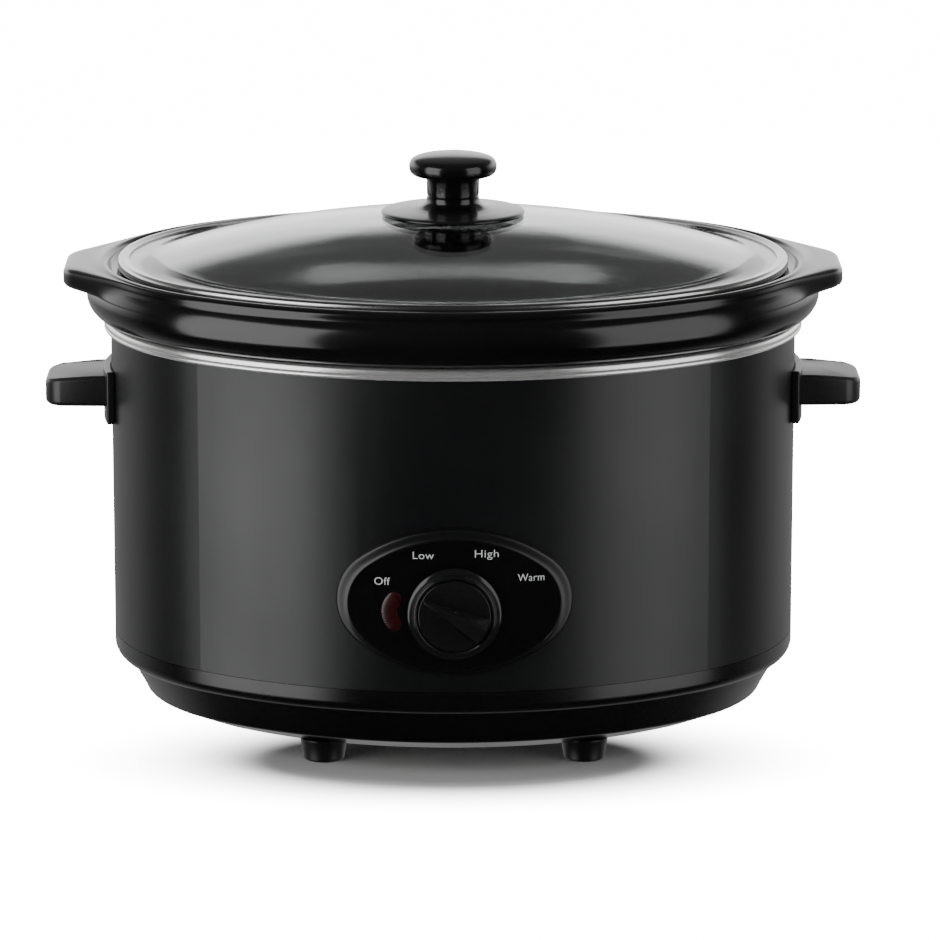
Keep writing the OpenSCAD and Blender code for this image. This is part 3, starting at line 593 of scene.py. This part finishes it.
# ------------------------------------------------------------ side handles
def handle(side, name, node):
    low = grip_lo[2] + 8 * MM
    tip = grip_hi[0]
    outline = [(HALF_W + 1 * MM, -22 * MM), (HALF_W + 8 * MM, -21.9 * MM)]
    outline += [(tip - 11 * MM + x, -10.5 * MM + y) for x, y in metres(arc(0, 0, 11, -75, 0, 9))]
    outline += [(tip - 11 * MM + x, 10.5 * MM + y) for x, y in metres(arc(0, 0, 11, 0, 75, 9))]
    outline += [(HALF_W + 8 * MM, 21.9 * MM), (HALF_W + 1 * MM, 22 * MM)]
    grip = bmesh.new()
    ring = [grip.verts.new((x, MID_Y + y, low)) for x, y in outline]
    sole = grip.faces.new(ring)
    raised_top = bmesh.ops.extrude_face_region(grip, geom=[sole])
    top_verts = [v for v in raised_top["geom"] if isinstance(v, bmesh.types.BMVert)]
    for v in top_verts:
        far = max(0.0, (v.co.x - HALF_W - 6 * MM) / (tip - HALF_W - 6 * MM))
        v.co.z += (15.3 - 2.4 * far ** 1.8) * MM
    bmesh.ops.recalc_face_normals(grip, faces=grip.faces[:])
    tops = set(top_verts)
    rims = [e for e in grip.edges if (e.verts[0] in tops) == (e.verts[1] in tops)
            and max(v.co.x for v in e.verts) > HALF_W + 2 * MM]
    upper = [e for e in rims if e.verts[0] in tops]
    lower = [e for e in rims if e.verts[0] not in tops]
    bmesh.ops.bevel(grip, geom=lower, offset=2.6 * MM, segments=4, profile=0.5, affect="EDGES", material=-1)
    upper = [e for e in upper if e.is_valid]
    bmesh.ops.bevel(grip, geom=upper, offset=2.2 * MM, segments=4, profile=0.5, affect="EDGES", material=-1)
    plate = bmesh.new()
    reach = math.asin(25 * MM / END_R)
    corners = [(END_R + 0.02 * MM, low - 8 * MM), (END_R + 3.9 * MM, low - 8 * MM),
               (END_R + 3.9 * MM, low + 18 * MM), (END_R + 0.02 * MM, low + 18 * MM)]
    face = plate.faces.new([plate.verts.new((END_X + r * math.cos(reach), MID_Y - r * math.sin(reach), z))
                            for r, z in corners])
    bmesh.ops.spin(plate, geom=[face], cent=(END_X, MID_Y, 0), axis=(0, 0, 1), angle=2 * reach, steps=24)
    mend(plate)
    sharp = [e for e in plate.edges if len(e.link_faces) == 2 and e.calc_face_angle(0.0) > math.radians(60)]
    bmesh.ops.bevel(plate, geom=sharp, offset=0.9 * MM, segments=3, profile=0.5, affect="EDGES", material=-1)
    whole = joined([grip, plate])
    if side < 0:
        bmesh.ops.scale(whole, vec=(-1, 1, 1), verts=whole.verts[:])
    bmesh.ops.recalc_face_normals(whole, faces=whole.faces[:])
    piece(whole, name, "base", [node], handle_plastic, crease=50)


# ------------------------------------------------------------ control panel
def control_panel():
    """Oval plate bent to the shell: a sloping bezel with a raised lip round a sunk gloss field."""
    outer = ((panel_hi[0] - panel_lo[0]) / 2, (panel_hi[2] - panel_lo[2]) / 2)
    inner = (outer[0] - 6 * MM, outer[1] - 3.2 * MM)
    # each ring: share of the way to the field's edge, share of the way on to the outer edge, height
    rings = [(i / 14, 0, 2.2) for i in range(14)]
    rings += [(0.975, 0, 2.2), (0.985, 0, 2.25), (0.992, 0, 2.4), (1, 0, 2.6), (1, 0.05, 2.78),
              (1, 0.11, 2.8), (1, 0.18, 2.6), (1, 0.28, 2.35), (1, 0.45, 2.22), (1, 0.65, 2.14),
              (1, 0.82, 2.04), (1, 0.93, 1.8), (1, 0.98, 1.35), (1, 1, 0.7), (1, 1, 0.03), (0.9, 0, 0.03), (0.5, 0, 0.03), (0, 0, 0.03)]
    field_rings = 17
    bm = turned([(k if share or k else 0, 0) for k, (share, _, _) in enumerate(rings)][:-1] + [(0, -1)], steps=160)
    last = len(rings) - 1
    for face in bm.faces:
        middle = face.calc_center_median()
        face.material_index = int(math.hypot(middle.x, middle.y) > field_rings)
    for v in bm.verts:
        k = round(math.hypot(v.co.x, v.co.y))
        turn = math.atan2(v.co.y, v.co.x)
        if k == 0 and v.co.z < -0.5:
            k = last
        share, on, height = rings[k]
        xi, zi = oval_at(*inner, turn)
        xo, zo = oval_at(*outer, turn)
        x = share * xi + on * (xo - xi)
        z = FIELD_Z + share * zi + on * (PANEL_Z + zo - FIELD_Z - zi)
        v.co = (x, front_y(x, height * MM), z)
    mend(bm)
    made = piece(bm, "control_panel", "base", ["panel"], panel_gloss, crease=70)
    made.data.materials.append(panel_edge)


def pilot_lens():
    """Kidney-shaped lens bent round the control shaft, standing a little out of the field."""
    mid_x, mid_z = (lens_lo[0] + lens_hi[0]) / 2, DIAL_Z + 0.4 * MM
    bend, half_t, half_l = 8.0 * MM, 3.8 * MM, 6.2 * MM
    profile = [(half_t * math.sin(math.radians(a)), half_l + half_t * math.cos(math.radians(a)))
               for a in range(0, 91, 9)]
    profile += [(half_t, half_l * k) for k in (0.66, 0.33, 0, -0.33, -0.66)]
    profile += [(half_t * math.sin(math.radians(a)), -half_l + half_t * math.cos(math.radians(a)))
                for a in range(90, 181, 9)]
    bm = turned(profile, steps=40)
    for v in bm.verts:
        across, out, along = v.co.x, v.co.y, v.co.z
        turn = along / bend
        x = mid_x + bend - (bend + across) * math.cos(turn)
        z = mid_z + (bend + across) * math.sin(turn)
        v.co = (x, front_y(x, (2.0 - 0.2 * out / MM) * MM), z)
    mend(bm)
    piece(bm, "pilot_lens_kidney", "base", ["pilot_lens"], lens_red, crease=70)


def dial_marking(words, middle_x, base_z, width):
    """One word printed on the panel's field, level, drawn out to its width."""
    data = bpy.data.curves.new(words, "FONT")
    data.body = words
    data.align_x = "CENTER"
    data.size = 5.25 * MM
    data.offset = -0.04 * MM
    data.space_character = 1.04
    data.extrude = 0.02 * MM
    holder = bpy.data.objects.new(words, data)
    mesh = bpy.data.meshes.new_from_object(holder)
    bpy.data.objects.remove(holder)
    bm = bmesh.new()
    bm.from_mesh(mesh)
    bpy.data.meshes.remove(mesh)
    left, right = min(v.co.x for v in bm.verts), max(v.co.x for v in bm.verts)
    for v in bm.verts:
        x = middle_x + (v.co.x - (left + right) / 2) * width / (right - left)
        v.co = (x, front_y(x, 2.22 * MM + max(0.0, v.co.z)), v.co.y + base_z)
    bmesh.ops.recalc_face_normals(bm, faces=bm.faces[:])
    piece(bm, "marking_" + words.lower(), "base", [], print_white, crease=20)


# ------------------------------------------------------------ control knob
GRIP_TURN = math.radians(151)


def control_knob():
    """Lip, cone, groove and sunk face turned about the shaft, with a wedge grip across the face."""
    rim, face = 22.2, 17.5
    section = [(0, 0), (18, 0), (rim - 0.3, 0), (rim, 0.3), (rim, 0.9)] + arc(rim - 0.6, 1.0, 0.6, 0, 62, 4)
    section += [(20.6, 2.4), (19.6, 4.0)] + arc(face + 1.1, 5.0, 0.7, 22, 125, 6)
    section += [(face + 0.35, 5.2), (face + 0.3, 4.4), (face - 0.25, 4.4), (face - 0.3, 5.0)]
    section += arc(face - 0.8, 4.95, 0.45, 20, 84, 4) + [(14, 5.75), (11, 6.05), (7, 6.35), (3, 6.5), (0, 6.52)]
    dial = turned(metres(section), steps=128)
    wedge = bmesh.new()
    bmesh.ops.create_cube(wedge, size=2)
    for v in wedge.verts:
        pointer, high = v.co.x > 0, v.co.z > 0
        along, half, height = {(True, False): (16.8, 1.1, 4.6), (False, False): (-15.4, 7.1, 4.6),
                               (True, True): (16.3, 0.45, 10.2), (False, True): (-14.9, 3.7, 15.3)}[(pointer, high)]
        v.co = (along * MM, math.copysign(half, v.co.y) * MM, height * MM)
    mend(wedge)
    bmesh.ops.bevel(wedge, geom=wedge.edges[:], offset=0.35 * MM, segments=3, profile=0.5, affect="EDGES",
                    material=-1)
    bmesh.ops.rotate(wedge, verts=wedge.verts[:], cent=(0, 0, 0), matrix=Matrix.Rotation(GRIP_TURN, 3, "Z"))
    whole = joined([dial, wedge])
    bmesh.ops.rotate(whole, verts=whole.verts[:], cent=(0, 0, 0), matrix=Matrix.Rotation(math.pi / 2, 3, "X"))
    bmesh.ops.translate(whole, verts=whole.verts[:], vec=(0, KNOB_BACK_Y, DIAL_Z))
    bmesh.ops.recalc_face_normals(whole, faces=whole.faces[:])
    piece(whole, "heat_control_knob", "dial", ["control_knob"], knob_plastic, crease=34)


# ------------------------------------------------------------ feet
def foot(node, name):
    lo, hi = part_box(node)
    top = (hi[2] - lo[2]) / MM
    section = [(0, 5.8), (4.4, 5.8), (4.6, 5.6), (4.6, 0.3), (4.9, 0)] + [(8.6, 0)]
    section += arc(8.7, 1.3, 1.3, -80, 8, 6) + [(11.3, top - 1.2), (11.5, top - 0.6), (11.5, top), (0, top)]
    bm = turned(metres(section), steps=64)
    bmesh.ops.translate(bm, verts=bm.verts[:], vec=((lo[0] + hi[0]) / 2, (lo[1] + hi[1]) / 2, lo[2]))
    piece(bm, name, "base", [node], foot_rubber)


# ------------------------------------------------------------ finishes of the CAD pieces
CAD_FINISHES = {
    "shell": shell_paint, "cord_gland": foot_rubber, "heating_well": well_metal,
    "foot_screws": zinc, "well_stud": zinc, "stud_nut": zinc, "heater_band": heater_foil, "band_clamp": zinc,
    "thermal_fuse": brass, "fuse_clip": zinc, "terminal_block": ceramic, "block_screw": zinc,
    "earth_screw": brass, "wires": sleeve, "handle_screws": zinc, "panel_clips": zinc, "pilot_lamp": lamp,
    "rotary_switch": switch_resin, "switch_nut": zinc, "switch_shaft": zinc, "lid_seal": silicone,
    "lid_knob_screw": zinc, "lid_screw_washer": zinc,
}


def dress_cad_pieces():
    for node, material in CAD_FINISHES.items():
        slots = nodes[node].data.materials
        slots.clear()
        slots.append(material)


# ------------------------------------------------------------ camera, floor and light
WHITE = 16.0


def link(made):
    bpy.context.scene.collection.objects.link(made)
    return made


def camera():
    distance, pitch, yaw = 2.7, math.radians(13.15), math.radians(-0.43)
    aim = Vector((8.31 * MM, MID_Y, 124.65 * MM))
    back = Vector((math.sin(yaw) * math.cos(pitch), -math.cos(yaw) * math.cos(pitch), math.sin(pitch)))
    data = bpy.data.cameras.new("camera")
    data.sensor_width = 36
    data.lens = 209.7
    data.clip_end = 60
    made = link(bpy.data.objects.new("camera", data))
    made.location = aim + distance * back
    made.rotation_euler = back.to_track_quat("Z", "Y").to_euler()
    bpy.context.scene.camera = made


def floor_finish():
    """Pale matt floor that fades to a white backdrop a little way out from the cooker: it glows to camera rays
    only, with no glow inside an ellipse sized to the cooker's contact shadow, so that ellipse's soft edge is
    painted shadow over the rendered one.
    """
    material = finish("pale_floor", (0.72, 0.72, 0.72), (0.85, 0.92, 3.0), drift=0.005)
    tree = material.node_tree
    shader = tree.nodes["Principled BSDF"]
    at = tree.nodes.new("ShaderNodeTexCoord")
    mapping = tree.nodes.new("ShaderNodeMapping")
    mapping.inputs["Location"].default_value = (0, 0.078 / 0.088, 0)
    mapping.inputs["Scale"].default_value = (1 / 0.175, 1 / 0.088, 1)
    away = tree.nodes.new("ShaderNodeVectorMath")
    away.operation = "LENGTH"
    tree.links.new(at.outputs["Object"], mapping.inputs["Vector"])
    tree.links.new(mapping.outputs["Vector"], away.inputs[0])
    # Painted shadow: no glow inside this ellipse, which is centred in front of the cooker and sized to its contact
    # shadow, rising smoothly to WHITE outside it.
    fade = spread(tree, away.outputs["Value"], 0.0, WHITE, 0.5, 1.15)
    fade.node.interpolation_type = "SMOOTHSTEP"
    path = tree.nodes.new("ShaderNodeLightPath")
    seen = tree.nodes.new("ShaderNodeMath")
    seen.operation = "MULTIPLY"
    tree.links.new(fade, seen.inputs[0])
    tree.links.new(path.outputs["Is Camera Ray"], seen.inputs[1])
    tree.links.new(seen.outputs[0], shader.inputs["Emission Strength"])
    shader.inputs["Emission Color"].default_value = (1, 1, 1, 1)
    return material


def floor():
    bm = bmesh.new()
    bmesh.ops.create_circle(bm, cap_ends=True, segments=96, radius=1.7)
    mesh = bpy.data.meshes.new("floor")
    bm.to_mesh(mesh)
    bm.free()
    made = link(bpy.data.objects.new("floor", mesh))
    mesh.materials.append(floor_finish())
    made.visible_glossy = False


def softbox(name, turn, height, distance, size, power, glossy=True):
    """Rectangular light that faces the cooker; turn is its bearing from the front, left positive."""
    data = bpy.data.lights.new(name, "AREA")
    data.shape = "RECTANGLE"
    data.size, data.size_y = size
    data.energy = power
    made = link(bpy.data.objects.new(name, data))
    bearing = math.radians(turn)
    made.location = (-distance * math.sin(bearing), -distance * math.cos(bearing), height)
    made.rotation_euler = (made.location - Vector((0, 0, 0.12))).to_track_quat("Z", "Y").to_euler()
    made.visible_glossy = glossy


def studio():
    """White to the eye, and for reflections a bright wall behind with a dark room in front."""
    world = bpy.data.worlds.new("studio")
    bpy.context.scene.world = world
    world.use_nodes = True
    tree = world.node_tree
    air = tree.nodes["Background"]
    at = tree.nodes.new("ShaderNodeTexCoord")
    aimed = tree.nodes.new("ShaderNodeVectorMath")
    aimed.operation = "DOT_PRODUCT"
    aimed.inputs[1].default_value = (0.0, 0.97, -0.25)
    tree.links.new(at.outputs["Generated"], aimed.inputs[0])
    haze = spread(tree, aimed.outputs["Value"], 0.03, 0.22, -0.1, 0.5)
    height = tree.nodes.new("ShaderNodeSeparateXYZ")
    tree.links.new(at.outputs["Generated"], height.inputs[0])
    behind = spread(tree, height.outputs["Y"], 0.0, 2.0, 0.15, 0.6)
    wall_top = spread(tree, height.outputs["Z"], 1.0, 0.0, 0.31, 0.43)
    glow = tree.nodes.new("ShaderNodeMath")
    glow.operation = "MULTIPLY"
    tree.links.new(behind, glow.inputs[0])
    tree.links.new(wall_top, glow.inputs[1])
    wall = tree.nodes.new("ShaderNodeMath")
    tree.links.new(haze, wall.inputs[0])
    tree.links.new(glow.outputs[0], wall.inputs[1])
    above_floor = spread(tree, height.outputs["Z"], 0.2, 1.0, -0.18, 0.04)
    shown = tree.nodes.new("ShaderNodeMath")
    shown.operation = "MULTIPLY"
    tree.links.new(wall.outputs[0], shown.inputs[0])
    tree.links.new(above_floor, shown.inputs[1])
    path = tree.nodes.new("ShaderNodeLightPath")
    seen = tree.nodes.new("ShaderNodeMix")
    tree.links.new(path.outputs["Is Camera Ray"], seen.inputs["Factor"])
    tree.links.new(shown.outputs[0], seen.inputs["A"])
    seen.inputs["B"].default_value = WHITE
    tree.links.new(seen.outputs["Result"], air.inputs["Strength"])
    air.inputs["Color"].default_value = (1, 1, 1, 1)
    softbox("left_softbox", 56, 0.35, 1.9, (1.4, 2.4), 38)
    softbox("right_softbox", -57, 0.35, 1.9, (1.3, 2.4), 20)
    softbox("top_softbox", 180, 2.3, 0.15, (2.4, 2.0), 120, glossy=False)


camera()
floor()
studio()
base_moulding()
crock()
rolled_trim()
steel_lid_rim()
domed_glass()
lid_knob()
handle(1, "side_handle_right", "handle_right")
handle(-1, "side_handle_left", "handle_left")
control_panel()
pilot_lens()
dial_marking("Off", -34.0 * MM, PANEL_Z + 8.1 * MM, 7.4 * MM)
dial_marking("Low", -14.6 * MM, PANEL_Z + 21.1 * MM, 9.9 * MM)
dial_marking("High", 15.2 * MM, PANEL_Z + 21.9 * MM, 11.2 * MM)
dial_marking("Warm", 36.1 * MM, PANEL_Z + 9.8 * MM, 12.5 * MM)
control_knob()
for place in ("front_left", "front_right", "rear_left", "rear_right"):
    foot("foot_" + place, "turned_foot_" + place)
dress_cad_pieces()
